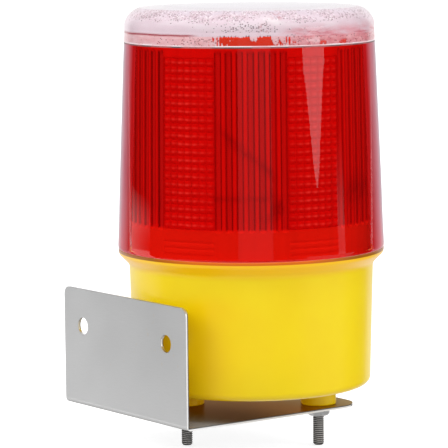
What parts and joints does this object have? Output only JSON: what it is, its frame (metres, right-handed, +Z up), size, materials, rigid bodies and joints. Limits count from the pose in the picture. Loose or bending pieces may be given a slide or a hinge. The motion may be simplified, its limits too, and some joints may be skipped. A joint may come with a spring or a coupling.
{
  "type": "barricade warning light",
  "caption": "Solar warning beacon: red ribbed lens in a clear screw-off cover on a yellow cup, standing on a bent stainless wall bracket.",
  "frame": {"origin": "on the lamp's axis, in the plane of the bracket nuts' lower faces, half-way between the two mounting bolts", "axes": "+Z up along the lamp's axis, +Y towards the wall that the bracket's upright leg lies on, +X along the bracket"},
  "size_m": [0.0981, 0.095, 0.1585],
  "materials": {
    "stainless": "satin rolled stainless sheet",
    "bolt_steel": "zinc-plated steel",
    "yellow_plastic": "glossy yellow moulding",
    "clear_plastic": "clear polycarbonate",
    "red_plastic": "clear red polycarbonate",
    "seal_rubber": "soft orange rubber",
    "black_rubber": "matte",
    "black_plastic": "black moulding",
    "white_plastic": "white moulding",
    "board_green": "solder-masked laminate",
    "chip_black": "moulded package",
    "coil_ferrite": "ferrite with wire",
    "cap_sleeve": "shrink sleeve",
    "led_clear": "clear epoxy",
    "tinned": "tinned copper",
    "cell_wrap": "shrink wrap",
    "spring_steel": "nickel plated",
    "solar_back": "laminate",
    "solar_blue": "silicon under epoxy",
    "wire_red": "PVC",
    "wire_black": "PVC"
  },
  "bodies": {
    "base": {"bracket": "stainless", "mounting_bolts": "bolt_steel", "bracket_nuts": "bolt_steel", "base_housing": "yellow_plastic", "switch_body": "black_plastic", "switch_washer": "black_rubber", "switch_nut": "bolt_steel", "battery_holder": "black_plastic", "holder_screws": "bolt_steel", "battery_cell": "cell_wrap", "battery_contact": "spring_steel", "battery_spring": "spring_steel", "chassis_plate": "white_plastic", "chassis_screws": "bolt_steel", "circuit_board": "board_green", "board_screws": "bolt_steel", "controller_chip": "chip_black", "inductor_coil": "coil_ferrite", "capacitor": "cap_sleeve", "led_holder": "white_plastic", "leds": "led_clear", "led_legs": "tinned", "panel_posts": "white_plastic", "panel_tray": "black_plastic", "tray_screws": "bolt_steel", "solar_panel": "solar_back", "solar_cells": "solar_blue", "cell_ribbons": "tinned", "panel_lead_red": "wire_red", "panel_lead_black": "wire_black", "battery_lead_red": "wire_red", "battery_lead_black": "wire_black", "switch_leads": "wire_black"},
    "button": {"switch_button": "black_rubber"},
    "seal": {"cover_seal": "seal_rubber"},
    "cover": {"clear_cover": "clear_plastic", "dome_cap": "clear_plastic", "red_lens": "red_plastic"}
  },
  "joints": [
    {"name": "cover_rise", "type": "slide", "parent": "base", "child": "seal", "axis": [0, 0, 1], "range_m": [0, 0.007]},
    {"name": "cover_turn", "type": "hinge", "parent": "seal", "child": "cover", "pos_m": [0, 0, 0], "axis": [0, 0, 1], "range_deg": [0, 380]},
    {"name": "switch_press", "type": "slide", "parent": "base", "child": "button", "axis": [0, 0, 1], "range_m": [0, 0.0015]}
  ],
  "couplings": [
    {"joint": "cover_rise", "follows": "cover_turn", "m_per_rad": 0.0010504}
  ]
}
